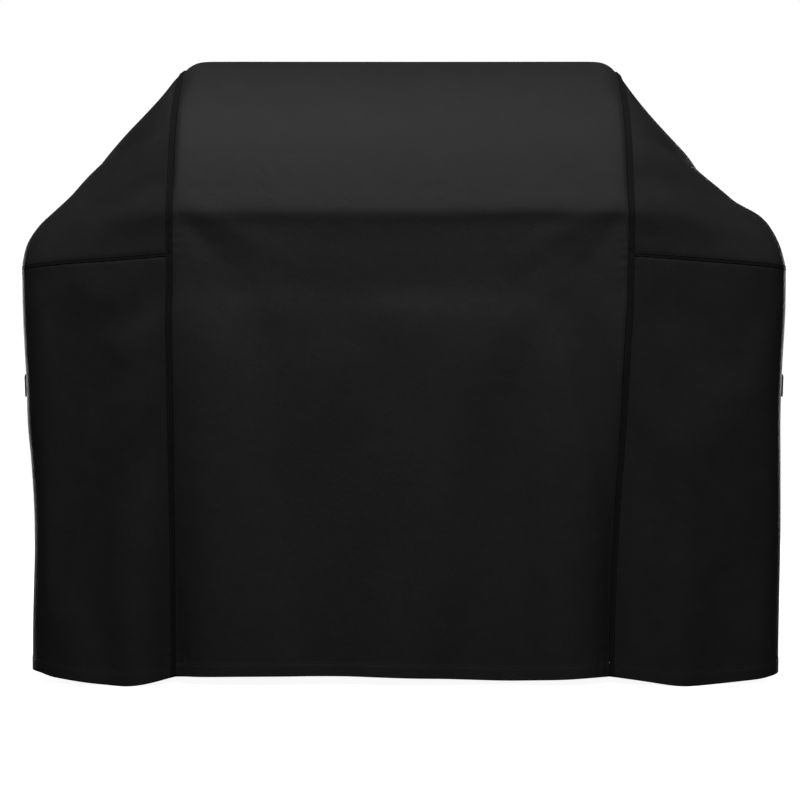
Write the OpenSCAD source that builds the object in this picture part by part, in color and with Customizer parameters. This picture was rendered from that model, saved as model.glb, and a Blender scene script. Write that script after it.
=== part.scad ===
// Fitted cloth cover for a wheeled barbecue with a domed hood and a shelf at each end.
// The frame's origin is at the middle of the hem, +Z is up, and the front faces -Y.
// Left and right are as seen from the front, so left is -X.

/* [Cover] */
// Width over both skirts, without the straps
cover_w = 1312; // [1240:2:1400]
// Depth from the hood ridge in front to the hood ridge at the back
cover_d = 660; // [620:10:700]
// Height from the hem to the crown
cover_h = 1092; // [1050:2:1130]
// Thickness of one layer of coated cloth
cloth_t = 1.5; // [1.2:0.1:2]

/* [Hood] */
// Width of the centre panel between the two long seams
hood_w = 764; // [740:4:800]
// Height of the ridge where the hood's front leans back
ridge_z = 794; // [780:1:810]
// Height of the ridge at the back of the hood
back_ridge_z = 777; // [760:1:790]
// Depth of the flat crown
crown_d = 210; // [160:10:240]
// How far the crown's middle sits behind the cover's middle
crown_shift = 15; // [0:5:30]

/* [Ends] */
// Height of the shelf's top edge under the shoulder
shelf_top_z = 774; // [760:1:780]
// Height at which the skirt's end wall is widest
shelf_z = 712; // [700:1:720]
// Depth of the cover over each end's shelf
end_d = 584; // [560:4:600]
// Radius of the skirt's upright corners
corner_r = 70; // [60:5:80]
// How far the skirt draws in from the shelf down to the hem
hem_in = 16; // [5:1:20]
// How far the centre panel's hem sits behind the hood ridge
hem_tuck = 30; // [20:1:40]
// Height of the shoulder seam where it meets the long seam
shoulder_seam_z = 724; // [716:1:732]
// How much the shoulder seam falls towards the end
shoulder_seam_drop = 20; // [10:1:24]

/* [Sewing] */
// Width of the binding tape over the seams
binding_w = 10; // [8:1:14]
// Thickness of the binding tape
binding_t = 1.2; // [0.8:0.1:1.6]
// Width of the hem's facing tape
hem_tape_w = 25; // [20:1:35]
// Thickness of the hem's facing tape
hem_tape_t = 1; // [0.6:0.1:1.4]

/* [Straps] */
// Width of the fastening straps
strap_w = 38; // [30:1:45]
// Thickness of the strap webbing
strap_t = 1.6; // [1.2:0.1:2]
// Height of the straps' middle
strap_z = 505; // [450:5:560]
// Distance from the cover's middle to each strap's stitching
strap_y = 172; // [160:2:176]
// Length of a strap's first half, from its stitching to where it peels
strap_root_l = 175; // [160:5:190]
// Length of a strap's second half, which carries the hook tape
strap_end_l = 165; // [150:5:175]
// Length of the strap's sewn end
anchor_l = 42; // [38:1:50]
// Length of the hook tape on the strap
hook_tape_l = 110; // [90:5:120]
// Length of the loop tape on the skirt
loop_tape_l = 150; // [130:5:160]
// Thickness of the hook tape and of the loop tape
grip_tape_t = 0.8; // [0.6:0.1:1]

/* [Hidden] */

cloth_colour = [0.11, 0.11, 0.11];
binding_colour = [0.16, 0.16, 0.16];
webbing_colour = [0.08, 0.08, 0.08];

left = -1;
right = 1;
front = -1;
rear = 1;

seam_x = hood_w / 2;
half_w = cover_w / 2;
half_d = cover_d / 2;
hem_y = half_d - hem_tuck;
hem_x = half_w - hem_in;
shelf_y = end_d / 2;
rim_in = half_w * 0.033;              // how far the shelf's top edge lies inside the end wall
crown_front_y = crown_shift - crown_d / 2;
crown_back_y = crown_shift + crown_d / 2;
curve_steps = 16;
thin = 0.02;                          // thickness of the slabs that a hull joins
below = 5;                            // how far an inner form runs past the open hem
beyond = 2;                           // how far an inner form runs past the open long seam
air = 0.1;                            // gap that keeps neighbouring layers apart
hem_clear = 2;                        // how far the hem tapes stay from the hem and the seams
binding_clear = 1;                    // how far the long seams' bindings end above the hem
corner_sides = 32;
tip_sides = 48;
lean = atan(hem_in / shelf_z);        // how far the end wall leans out from upright

// Shape of the centre panel, seen from the end: a list of [y, z] from the front hem to the back hem.
function bezier(a, b, c, d, t) =
    pow(1 - t, 3) * a + 3 * t * pow(1 - t, 2) * b + 3 * t * t * (1 - t) * c + pow(t, 3) * d;

function arch(a, b, c, d) = [for (i = [0:curve_steps]) bezier(a, b, c, d, i / curve_steps)];

ridge = [-half_d, ridge_z];
crown_front = [crown_front_y, cover_h];
crown_back = [crown_back_y, cover_h];
back_ridge = [half_d, back_ridge_z];
front_lean = [32, 135];               // pull of the hood's front curve at the ridge
back_lean = [-14, 150];               // pull of the hood's back curve at the back ridge
front_pull = [135, 0];                // pull of the front curve along the crown
back_pull = [120, 0];                 // pull of the back curve along the crown

profile = concat(
    [[-hem_y, 0]],
    arch(ridge, ridge + front_lean, crown_front - front_pull, crown_front),
    arch(crown_back, crown_back + back_pull, back_ridge + back_lean, back_ridge),
    [[hem_y, 0]]
);

function unit(v) = v / norm(v);
function inward(pts, i) =
    let (a = pts[max(i - 1, 0)], b = pts[min(i + 1, len(pts) - 1)], d = unit(b - a))
    [d[1], -d[0]];

// The profile moved inward by g, closed a little below the hem where the cover is open.
function profile_inset(g, drop) =
    let (last = len(profile) - 1, pts = [for (i = [0:last]) profile[i] + g * inward(profile, i)])
    [for (i = [0:last]) (i == 0 || i == last) ? [pts[i][0], -drop] : pts[i]];

module along_x(x0, x1) {
    translate([x0, 0, 0])
        rotate([90, 0, 90])
            linear_extrude(x1 - x0)
                children();
}

// A shell that follows the centre panel's profile, from inset g0 in to inset g1, between x0 and x1.
module profile_shell(g0, g1, x0, x1) {
    difference() {
        along_x(x0, x1) polygon(profile_inset(g0, 0));
        along_x(x0 - 1, x1 + 1) polygon(profile_inset(g1, below));
    }
}

module layer_between(z0, z1) {
    intersection() {
        children();
        translate([-cover_w, -cover_d, z0])
            cube([2 * cover_w, 2 * cover_d, z1 - z0]);
    }
}

// Two upright-cornered discs that mark one outline of the left end.
module end_corners(x, y, z) {
    for (side = [front, rear])
        translate([-(x - corner_r), side * (y - corner_r), z])
            cylinder(h = thin, r = corner_r, $fn = corner_sides);
}

// The convex body under the left end: hood edge, shelf and hem, inset by g on every face.
module end_form(g, start = 0, drop = 0) {
    hull() {
        along_x(-seam_x + start - thin, -seam_x + start) polygon(profile_inset(g, drop));
        end_corners(half_w - rim_in - g, shelf_y - rim_in - g, shelf_top_z - g);
        end_corners(half_w - g, shelf_y - g, shelf_z);
        end_corners(hem_x - g, shelf_y - g, -drop);
    }
}

module inner_end_form(g) {
    end_form(g, start = beyond, drop = below);
}

module end_shell() {
    difference() {
        end_form(0);
        inner_end_form(cloth_t);
    }
}

// The sloping slab between two heights measured along the shoulder seam.
module seam_slab(low, high) {
    seam_lean = atan(shoulder_seam_drop / (half_w - seam_x));
    translate([-seam_x, 0, shoulder_seam_z])
        rotate([0, -seam_lean, 0])
            translate([-half_w, -cover_d, low])
                cube([2 * half_w, 2 * cover_d, high - low]);
}

module on_side(side) {
    if (side == left) children();
    else mirror([1, 0, 0]) children();
}

module centre_panel() {
    color(cloth_colour) profile_shell(0, cloth_t, -seam_x, seam_x);
}

module shoulder_panel(side) {
    color(cloth_colour) on_side(side)
        intersection() {
            end_shell();
            seam_slab(0, cover_h);
        }
}

module skirt_panel(side) {
    color(cloth_colour) on_side(side)
        intersection() {
            end_shell();
            seam_slab(-cover_h, 0);
        }
}

module long_seam_binding(side) {
    color(binding_colour) on_side(side)
        layer_between(binding_clear, 2 * cover_h)
            profile_shell(-binding_t, 0, -seam_x - binding_w / 2, -seam_x + binding_w / 2);
}

module shoulder_seam_binding(side) {
    color(binding_colour) on_side(side)
        intersection() {
            difference() {
                end_form(-binding_t);
                end_form(0);
            }
            seam_slab(-binding_w / 2, binding_w / 2);
            translate([-cover_w - seam_x - binding_w / 2 - air, -cover_d, 0])
                cube([cover_w, 2 * cover_d, cover_h]);
        }
}

module centre_hem_tape(face) {
    g = cloth_t + air;
    color(binding_colour)
        layer_between(hem_clear, hem_clear + hem_tape_w)
            intersection() {
                profile_shell(g, g + hem_tape_t, -seam_x + hem_clear, seam_x - hem_clear);
                translate([-cover_w, face == front ? -cover_d : 0, 0])
                    cube([2 * cover_w, cover_d, cover_h]);
            }
}

module skirt_hem_tape(side) {
    g = cloth_t + air;
    color(binding_colour) on_side(side)
        intersection() {
            difference() {
                inner_end_form(g);
                inner_end_form(g + hem_tape_t);
            }
            translate([-cover_w - seam_x - hem_clear, -cover_d, hem_clear])
                cube([cover_w, 2 * cover_d, hem_tape_w]);
        }
}

// Puts its children on the left end wall at height z: +X points out of the wall and +Z up along it.
module on_end_wall(z) {
    wall_x = hem_x + hem_in * z / shelf_z;
    translate([-wall_x, 0, z])
        rotate([0, -lean, 0])
            mirror([1, 0, 0])
                children();
}

grip_play = 0.3;                      // play between the two grip tapes and the strap
strap_x = air + 2 * grip_tape_t + grip_play;  // inner face of a strap that is fastened down
strap_face = strap_x + strap_t;       // outer face, in which the strap folds
fold_gap = 3;                         // space that a fold takes up
tip_r = 9;                            // rounding of the strap's tip
tab_l = 22;                           // bare tab at the strap's tip, to pull on
hook_margin = 3;                      // how far the hook tape lies inside the strap's edges
backing_t = 1.2;                      // thickness of the patch inside, behind the sewn end
backing_margin = 10;                  // how far the patch shows above and below the strap
backing_front = 4;                    // how far the patch runs past the sewn end's edge
backing_rear = 8;                     // how far the patch runs past the stitching
root_y = -strap_y;                    // where the strap leaves its stitching
end_y = root_y + strap_root_l;        // where the strap's second half begins
tip_y = end_y + strap_end_l;
hook_y = tip_y - tab_l - hook_tape_l;
loop_y = hook_y + hook_tape_l / 2 - loop_tape_l / 2;

module on_strap(side) {
    on_side(side) on_end_wall(strap_z) children();
}

// A flat piece on the end wall, from y0 to y1 along it and from x0 to x1 out of it.
module wall_strip(x0, x1, y0, y1, w) {
    translate([x0, y0, -w / 2])
        cube([x1 - x0, y1 - y0, w]);
}

module strap_backing(side) {
    inside = -cloth_t - air;
    color(cloth_colour) on_strap(side)
        wall_strip(inside - backing_t, inside, root_y - anchor_l - backing_front,
                   root_y + backing_rear, strap_w + 2 * backing_margin);
}

module strap_anchor(side) {
    color(webbing_colour) on_strap(side)
        wall_strip(air, strap_face, root_y - anchor_l, root_y - fold_gap / 2, strap_w);
}

module strap_root(side) {
    color(webbing_colour) on_strap(side)
        wall_strip(strap_x, strap_face, root_y + fold_gap / 2, end_y - fold_gap / 2, strap_w);
}

module strap_end(side) {
    color(webbing_colour) on_strap(side)
        union() {
            wall_strip(strap_x, strap_face, end_y + fold_gap / 2, tip_y - tip_r, strap_w);
            wall_strip(strap_x, strap_face, tip_y - 2 * tip_r, tip_y, strap_w - 2 * tip_r);
            for (edge = [-1, 1])
                translate([strap_x, tip_y - tip_r, edge * (strap_w / 2 - tip_r)])
                    rotate([0, 90, 0])
                        cylinder(h = strap_t, r = tip_r, $fn = tip_sides);
        }
}

// Hook tape lies on the strap's inner face, over the loop tape on the skirt.
module hook_tape(side) {
    color(webbing_colour) on_strap(side)
        wall_strip(strap_x - grip_tape_t, strap_x, hook_y, hook_y + hook_tape_l,
                   strap_w - 2 * hook_margin);
}

module loop_tape(side) {
    color(webbing_colour) on_strap(side)
        wall_strip(air, air + grip_tape_t, loop_y, loop_y + loop_tape_l, strap_w);
}

centre_panel();
shoulder_panel(left);  // left_shoulder_panel
shoulder_panel(right);  // right_shoulder_panel
skirt_panel(left);  // left_skirt_panel
skirt_panel(right);  // right_skirt_panel
long_seam_binding(left);  // left_long_seam_binding
long_seam_binding(right);  // right_long_seam_binding
shoulder_seam_binding(left);  // left_shoulder_seam_binding
shoulder_seam_binding(right);  // right_shoulder_seam_binding
centre_hem_tape(front);  // front_hem_tape
centre_hem_tape(rear);  // back_hem_tape
skirt_hem_tape(left);  // left_hem_tape
skirt_hem_tape(right);  // right_hem_tape
strap_backing(left);  // left_strap_backing
strap_backing(right);  // right_strap_backing
strap_anchor(left);  // left_strap_anchor
strap_anchor(right);  // right_strap_anchor
strap_root(left);  // left_strap_root
strap_root(right);  // right_strap_root
strap_end(left);  // left_strap_end
strap_end(right);  // right_strap_end
hook_tape(left);  // left_hook_tape
hook_tape(right);  // right_hook_tape
loop_tape(left);  // left_loop_tape
loop_tape(right);  // right_loop_tape
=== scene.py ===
"""Grill cover: the looks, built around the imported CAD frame."""
import math

import bpy
import numpy as np
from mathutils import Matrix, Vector
from mathutils.bvhtree import BVHTree


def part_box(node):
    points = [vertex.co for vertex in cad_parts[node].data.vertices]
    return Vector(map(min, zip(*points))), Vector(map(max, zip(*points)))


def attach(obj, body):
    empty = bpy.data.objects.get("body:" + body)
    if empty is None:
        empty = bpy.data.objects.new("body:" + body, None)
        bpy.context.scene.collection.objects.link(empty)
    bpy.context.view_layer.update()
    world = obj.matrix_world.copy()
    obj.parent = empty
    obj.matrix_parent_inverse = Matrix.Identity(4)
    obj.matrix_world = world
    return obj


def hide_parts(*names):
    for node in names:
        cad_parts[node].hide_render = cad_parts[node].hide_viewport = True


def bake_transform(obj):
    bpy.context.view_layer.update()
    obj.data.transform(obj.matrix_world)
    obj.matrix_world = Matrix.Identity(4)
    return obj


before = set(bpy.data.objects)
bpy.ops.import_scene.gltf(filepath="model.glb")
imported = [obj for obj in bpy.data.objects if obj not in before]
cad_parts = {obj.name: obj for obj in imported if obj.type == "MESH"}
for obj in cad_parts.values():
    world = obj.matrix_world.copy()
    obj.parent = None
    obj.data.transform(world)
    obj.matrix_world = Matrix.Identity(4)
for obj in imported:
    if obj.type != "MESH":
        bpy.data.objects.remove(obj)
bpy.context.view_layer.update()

scene = bpy.context.scene

# ---------------- sizes, all from the CAD

LEFT, RIGHT = -1, 1
SIDES = (LEFT, RIGHT)
NAME = {LEFT: "left", RIGHT: "right"}
FRONT, BACK = -1, 1

_, panel_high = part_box("centre_panel")
SEAM_X = panel_high.x                       # half the centre panel's width
RIDGE_Y = panel_high.y                      # the hood ridge, in front and behind
CROWN_Z = panel_high.z
_, skirt_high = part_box("right_skirt_panel")
HALF_W = skirt_high.x
SHOULDER_SEAM_Z = skirt_high.z              # where the shoulder seam meets the long seam

RIDGE_Z = 0.794
BACK_RIDGE_Z = 0.777
HEM_Y = RIDGE_Y - 0.030
CROWN_FRONT_Y, CROWN_BACK_Y = -0.090, 0.120
SEAM_DROP = 0.020
HEM_X = HALF_W - 0.016
SHELF_Z = 0.712                             # height at which the end wall is widest

CLOTH_T = 0.0013
STRAP_HEIGHT = 0.505                        # of the straps' middle, where the end walls stay flat
HEM_STITCH = 0.0235                         # height of the hem's row of stitches above its edge
END_LENGTH = 1.16                           # from long seam to long seam round an end
CROWN_SAG = 0.0105                          # how far the crown hangs under its nominal height
ROLL = {LEFT: 0.014, RIGHT: 0.016}          # how far the hood's edge rolls down to each long seam


def clamp01(t):
    return np.clip(t, 0.0, 1.0)


def smooth(t):
    t = clamp01(t)
    return t * t * (3 - 2 * t)


def hump(t, centre, width):
    return np.exp(-(((t - centre) / width) ** 2))


def bell(t, width):
    return np.exp(-(t / width) ** 2)


def bezier(a, b, c, d, n):
    t = np.linspace(0, 1, n)[:, None]
    a, b, c, d = (np.array(p, float) for p in (a, b, c, d))
    return (1 - t) ** 3 * a + 3 * t * (1 - t) ** 2 * b + 3 * t * t * (1 - t) * c + t ** 3 * d


def lengths(points):
    steps = np.linalg.norm(np.diff(points, axis=0), axis=1)
    return np.concatenate([[0], np.cumsum(steps)])


def along(points, at):
    """Points of a polyline at the given distances along it."""
    s = lengths(points)
    return np.stack([np.interp(at, s, points[:, k]) for k in range(points.shape[1])], axis=1)


def running_mean(p, k):
    """Each row of p averaged with its k neighbours on either side, three times over."""
    if k < 1:
        return p
    for _ in range(3):
        padded = np.concatenate([2 * p[:1] - p[k:0:-1], p, 2 * p[-1:] - p[-2:-k - 2:-1]])
        c = np.cumsum(np.concatenate([np.zeros((1, p.shape[1])), padded]), axis=0)
        p = (c[2 * k + 1:] - c[:-2 * k - 1]) / (2 * k + 1)
    return p


def rounded(points, n=400, radius=0.02):
    """A polyline resampled evenly and smoothed over about the given length."""
    points = np.array(points, float)
    s = lengths(points)[-1]
    p = running_mean(along(points, np.linspace(0, s, n)), max(1, int(radius / (s / n))))
    return along(p, np.linspace(0, lengths(p)[-1], n))


def unit(v):
    return v / np.maximum(np.linalg.norm(v, axis=-1, keepdims=True), 1e-12)


def graded(total, near_start, near_end, fine, coarse):
    """Shares of a length, 0 to 1, spaced finely near its ends and coarsely between."""
    s = np.linspace(0, total, 4001)
    ease = 0.04
    weight = np.maximum(1 - smooth((s - near_start) / ease), 1 - smooth((total - s - near_end) / ease))
    step = coarse * (fine / coarse) ** weight
    count = np.concatenate([[0], np.cumsum((s[1] - s[0]) / step[:-1])])
    n = int(math.ceil(count[-1]))
    return np.interp(np.linspace(0, count[-1], n + 1), count, s) / total


# ---------------- the cover's form

# Half profiles of the centre panel, [y, z], from the hem to the crown's edge.
PROFILE = {
    FRONT: np.concatenate([
        np.array([[-HEM_Y, 0.0], [-RIDGE_Y, RIDGE_Z]]),
        bezier([-RIDGE_Y, RIDGE_Z], [-RIDGE_Y + 0.032, RIDGE_Z + 0.135],
               [CROWN_FRONT_Y - 0.135, CROWN_Z], [CROWN_FRONT_Y, CROWN_Z], 60)[1:]]),
    BACK: np.concatenate([
        np.array([[HEM_Y, 0.0], [RIDGE_Y, BACK_RIDGE_Z]]),
        bezier([RIDGE_Y, BACK_RIDGE_Z], [RIDGE_Y - 0.014, BACK_RIDGE_Z + 0.150],
               [CROWN_BACK_Y + 0.120, CROWN_Z], [CROWN_BACK_Y, CROWN_Z], 60)[1:]]),
}

# Outline of each end at mid depth, [x, z], from the shoulder seam up to the crown's edge.
END_OUTLINE = {
    LEFT: [[HALF_W + 0.003, SHOULDER_SEAM_Z - SEAM_DROP], [0.658, 0.730], [0.656, 0.746], [0.649, 0.763],
           [0.639, 0.781], [0.6225, 0.799], [0.5885, 0.834], [0.565, 0.870], [0.538, 0.905],
           [0.5090, 0.9405], [0.457, 0.994], [0.4195, 1.040], [0.405, 1.064], [SEAM_X, CROWN_Z]],
    RIGHT: [[HALF_W + 0.003, SHOULDER_SEAM_Z - SEAM_DROP], [0.656, 0.730], [0.653, 0.746], [0.6475, 0.763],
            [0.640, 0.781], [0.6255, 0.799], [0.5905, 0.8165], [0.5525, 0.852], [0.5395, 0.870],
            [0.520, 0.905], [0.4887, 0.9405], [0.440, 0.994], [0.420, 1.023], [0.409, 1.049],
            [0.3985, 1.071], [SEAM_X, CROWN_Z]],
}


def seam_rows(half, skirt_f, upper_f):
    """Points on one half profile: skirt rows up to the shoulder seam, then upper rows to the crown."""
    s = lengths(half)
    seam_s = np.interp(SHOULDER_SEAM_Z, half[:, 1], s)
    return along(half, np.concatenate([skirt_f * seam_s, (seam_s + upper_f * (s[-1] - seam_s))[1:]]))


def end_rows(side, skirt_f, upper_f):
    """The outermost line of an end, [x, z], at the same rows as seam_rows."""
    low = rounded([[HEM_X + 0.005, 0.0], [HEM_X + 0.006, 0.10], [HEM_X + 0.0075, 0.35],
                   [HEM_X + 0.0115, STRAP_HEIGHT], [HEM_X + 0.0175, 0.64], END_OUTLINE[side][0]], radius=0.04)
    high = rounded(END_OUTLINE[side], radius=0.008)
    below = along(low, skirt_f * lengths(low)[-1])
    above = along(high, upper_f * lengths(high)[-1])
    return np.concatenate([below, above[1:]])


def superellipse(n, count=721):
    """Half of a rounded rectangle: x from 0 to 1 and y from -1 to 1, from front to back."""
    a = np.linspace(-math.pi / 2, math.pi / 2, count)
    return np.abs(np.cos(a)) ** (2 / n), np.sign(np.sin(a)) * np.abs(np.sin(a)) ** (2 / n)


def end_grid(side, skirt_f, upper_f, cols):
    """Base positions of an end's cloth, [row, column, xyz], front seam to back seam."""
    f, b = (seam_rows(PROFILE[h], skirt_f, upper_f) for h in (FRONT, BACK))
    e = end_rows(side, skirt_f, upper_f)
    n_skirt = len(skirt_f)
    grid = np.zeros((len(f), len(cols), 3))
    for i in range(len(f)):
        u = 0.0 if i < n_skirt else upper_f[i - n_skirt + 1]
        power = np.interp(u, [0, 0.15, 0.45, 1.0], [7.5, 5.2, 2.3, 1.75])
        taper = np.interp(u, [0, 0.15, 1.0], [0.045, 0.10, 0.0])
        x, y = superellipse(power)
        mid, half = (f[i, 0] + b[i, 0]) / 2, (b[i, 0] - f[i, 0]) / 2
        px = SEAM_X + (e[i, 0] - SEAM_X) * x
        py = mid + half * y * (1 - taper * smooth(x))
        back = smooth((y + 1) / 2)
        side_z = f[i, 1] * (1 - back) + b[i, 1] * back
        line = np.stack([side * px, py, side_z + (e[i, 1] - side_z) * x], axis=1)
        grid[i] = along(line, cols * lengths(line)[-1])
    return grid


def centre_grid(skirt_f, upper_f, crown_f, cols):
    """Base positions of the centre panel, [row, column, xyz], front hem to back hem."""
    f, b = (seam_rows(PROFILE[h], skirt_f, upper_f) for h in (FRONT, BACK))
    crown = f[-1] + (b[-1] - f[-1]) * crown_f[1:-1, None]
    line = np.concatenate([f, crown, b[::-1]])
    grid = np.zeros((len(line), len(cols), 3))
    grid[..., 0] = (2 * cols - 1) * SEAM_X
    grid[..., 1] = line[:, None, 0]
    grid[..., 2] = line[:, None, 1]
    return grid


def normals(grid):
    """Unit normals of a grid whose columns run left to right as seen from outside."""
    return unit(np.cross(np.gradient(grid, axis=1), np.gradient(grid, axis=0)))


def out_normals(grid, side):
    """Outward normals of an end's grid, whichever side it is on."""
    return normals(grid) * side


def mesh_of(name, verts, faces):
    mesh = bpy.data.meshes.new(name)
    mesh.from_pydata(verts, [], faces)
    return mesh


def linked(name, data):
    """A new object in the scene."""
    o = bpy.data.objects.new(name, data)
    scene.collection.objects.link(o)
    return o


def numbered(grid, start=0):
    """The indices of a grid's points, from start."""
    return start + np.arange(grid.shape[0] * grid.shape[1]).reshape(grid.shape[:2])


def quads(idx):
    """The faces between the points of a grid of indices."""
    return np.stack([idx[:-1, :-1], idx[:-1, 1:], idx[1:, 1:], idx[1:, :-1]], -1).reshape(-1, 4)


# Hem height along the front and along the back: [x, lift].
HEM_LIFT = {
    FRONT: [[-0.66, 0.018], [-0.60, 0.012], [-0.52, 0.003], [-0.459, 0.000], [-0.42, 0.005],
            [-0.385, 0.012], [-0.30, 0.015], [-0.10, 0.0155], [0.05, 0.012], [0.17, 0.008],
            [0.23, 0.008], [0.31, 0.011], [0.385, 0.010], [0.42, 0.005], [0.466, 0.000],
            [0.53, 0.002], [0.60, 0.009], [0.66, 0.016]],
    BACK: [[-0.66, 0.008], [-0.56, 0.003], [-0.47, 0.001], [-0.385, 0.013], [-0.25, 0.009],
           [-0.05, 0.012], [0.12, 0.007], [0.28, 0.010], [0.385, 0.014], [0.45, 0.002],
           [0.55, 0.004], [0.66, 0.008]],
}


def hem_lift(face, x):
    """Height of the hem above its lowest point, at x along the front or the back."""
    known = np.array(HEM_LIFT[face])
    at = np.linspace(-0.72, 0.72, 721)
    curve = running_mean(np.interp(at, known[:, 0], known[:, 1])[:, None], 7)[:, 0]
    return np.interp(x, at, curve)


def ridge_line(x, z, x0, z0, x1, z1, width):
    """1 along a straight fold from one point to the other, fading to both sides and at its ends."""
    d = np.array([x1 - x0, z1 - z0])
    n = np.hypot(*d)
    t = ((x - x0) * d[0] + (z - z0) * d[1]) / n ** 2
    off = np.abs((x - x0) * d[1] - (z - z0) * d[0]) / n
    fade = smooth(t / 0.25 + 0.5) * smooth((1 - t) / 0.45 + 0.1)
    return np.exp(-((off / (width * (0.6 + 0.8 * clamp01(t)))) ** 2)) * fade


# Folds, each as [from x, z, to x, z, how far it stands out, width]. The back has the front's, mirrored.
RIDGE_FOLDS = (
    (-0.372, 0.792, -0.235, 0.640, -0.0024, 0.024), (-0.330, 0.790, -0.150, 0.690, 0.0018, 0.024),
    (0.368, 0.792, 0.285, 0.655, -0.0022, 0.024), (0.320, 0.790, 0.160, 0.700, 0.0018, 0.024),
    (-0.250, 0.700, -0.090, 0.480, 0.0022, 0.045), (0.260, 0.690, 0.120, 0.450, 0.0022, 0.045))
SHOULDER_FOLDS = {
    LEFT: ((0.388, 0.800, 0.500, 0.790, 0.0008, 0.028), (0.395, 0.850, 0.560, 0.780, -0.0030, 0.024),
           (0.400, 0.930, 0.590, 0.800, 0.0022, 0.024), (0.395, 0.760, 0.520, 0.728, -0.0010, 0.022)),
    RIGHT: ((0.388, 0.800, 0.470, 0.795, 0.0008, 0.028), (0.395, 0.860, 0.600, 0.775, -0.0040, 0.026),
            (0.400, 0.905, 0.615, 0.805, 0.0030, 0.022), (0.400, 1.000, 0.530, 0.890, -0.0022, 0.024),
            (0.395, 0.760, 0.560, 0.735, -0.0010, 0.022)),
}


def seam_lean(x, z, front):
    """The long seams hang a little off true, the right one leaning in towards the hem."""
    ax = np.abs(x)
    low = smooth((0.80 - z) / 0.80)
    lean = np.where(x < 0, -0.005, -0.007 - 0.027 * low * front - 0.004 * low * (1 - front))
    return lean * bell(ax - SEAM_X, 0.13) * (1 - smooth((ax - 0.56) / 0.06))


def hem_hang(x, xs, z, front):
    """Skirts fold forward beside the long seams, which hang back between them."""
    ax = np.abs(x)
    low = smooth((0.66 - z) / 0.62)
    flute = np.where(x < 0, 0.023 * hump(xs, -0.459, 0.044), 0.023 * hump(xs, 0.466, 0.050)) * low ** 1.2
    inside = np.exp(-(clamp01((SEAM_X - ax) / 0.095) * 2.2) ** 1.5)
    outside = np.exp(-(clamp01((ax - SEAM_X) / 0.050) * 2.2) ** 1.6)
    valley = np.where(ax < SEAM_X, inside, outside) * 0.032 * low
    drift = 0.004 * np.sin(x * 9.5 + 0.6) * low * hump(ax, 0.0, 0.33)
    back_drift = 0.005 * np.sin(x * 11 + 2.0) * low * hump(ax, 0.05, 0.3)
    return front * (flute - valley + drift) + (1 - front) * (0.8 * (flute - valley) + back_drift)


def ridge_fall(x, z, front):
    """The cloth hangs hollow just under the ridge, which stands a little proud, and folds fan down from its ends."""
    ax, back = np.abs(x), 1 - front
    across = 1 - smooth((ax - 0.37) / 0.03)
    across_soft = 1 - smooth((ax - 0.36) / 0.10)
    wander = RIDGE_Z + 0.004 * np.sin(x * 5.0 + 0.8) - 0.003 * np.cos(x * 13.0)
    under = wander - 0.026 - z
    hollow = bell(under, np.where(under < 0, 0.018, 0.100))
    depth = (0.0025 + 0.0007 * np.sin(x * 8 - 1.0)) * (1 - 0.35 * smooth((ax - 0.22) / 0.12))
    out = front * (0.0012 * hump(z, wander + 0.006, 0.026) * across_soft - depth * hollow * across)
    out += back * (0.0025 * hump(z, BACK_RIDGE_Z + 0.004, 0.026) * across_soft
                   - 0.005 * hump(z, BACK_RIDGE_Z - 0.040, 0.05) * across)
    for *fold, a, w in RIDGE_FOLDS:
        out += front * a * ridge_line(x, z, *fold, w)
        out += back * 0.8 * a * ridge_line(-x, z + 0.017, *fold, w)
    return out


def shoulder_folds(x, z):
    """Folds from the ridge's end and from the crown towards the shelf."""
    ax, out = np.abs(x), np.zeros_like(x)
    for side in SIDES:
        for *fold, a, w in SHOULDER_FOLDS[side]:
            out += a * ridge_line(ax, z, *fold, w) * (np.sign(x) == side)
    return out * smooth((ax - SEAM_X) / 0.02)


def wall_draw(x, y, z):
    """How far the end walls draw in between the shelf and the hem."""
    strap_gap = smooth((np.abs(z - STRAP_HEIGHT) - 0.035) / 0.09)
    waist = np.where(x < 0, 0.0085, -0.0030) * hump(z, 0.27, 0.15)
    ripple = 0.0030 * np.sin(y * 17 + np.sign(x)) * smooth((0.42 - z) / 0.4)
    return strap_gap * (waist + ripple)


def formed(P, N):
    """The base moved to its hanging shape: out along its normals, and in X, Y and Z."""
    x, y, z = P[..., 0], P[..., 1], P[..., 2]
    front = smooth(0.5 - y / 0.20)
    facing = np.abs(N[..., 1])                       # 1 where the cloth faces front or back
    wall = smooth((np.abs(N[..., 0]) - 0.35) / 0.5)
    out_x = seam_lean(x, z, front)
    xs = x + out_x
    out_n = facing * ridge_fall(x, z, front) + shoulder_folds(x, z) - wall * wall_draw(x, y, z)
    out_n -= CROWN_SAG * smooth((z - 0.90) / 0.16)
    lift = front * hem_lift(FRONT, xs) + (1 - front) * hem_lift(BACK, xs)
    lift += wall * 0.0035 * (1 + np.cos(y * 16 + 0.5 * np.sign(x)))
    Q = P + N * out_n[..., None]
    Q[..., 0] += out_x
    Q[..., 1] += np.sign(y) * facing * hem_hang(x, xs, z, front)
    Q[..., 2] += lift * clamp01(1 - z / 0.5) ** 2
    return Q


# ---------------- grids

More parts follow.
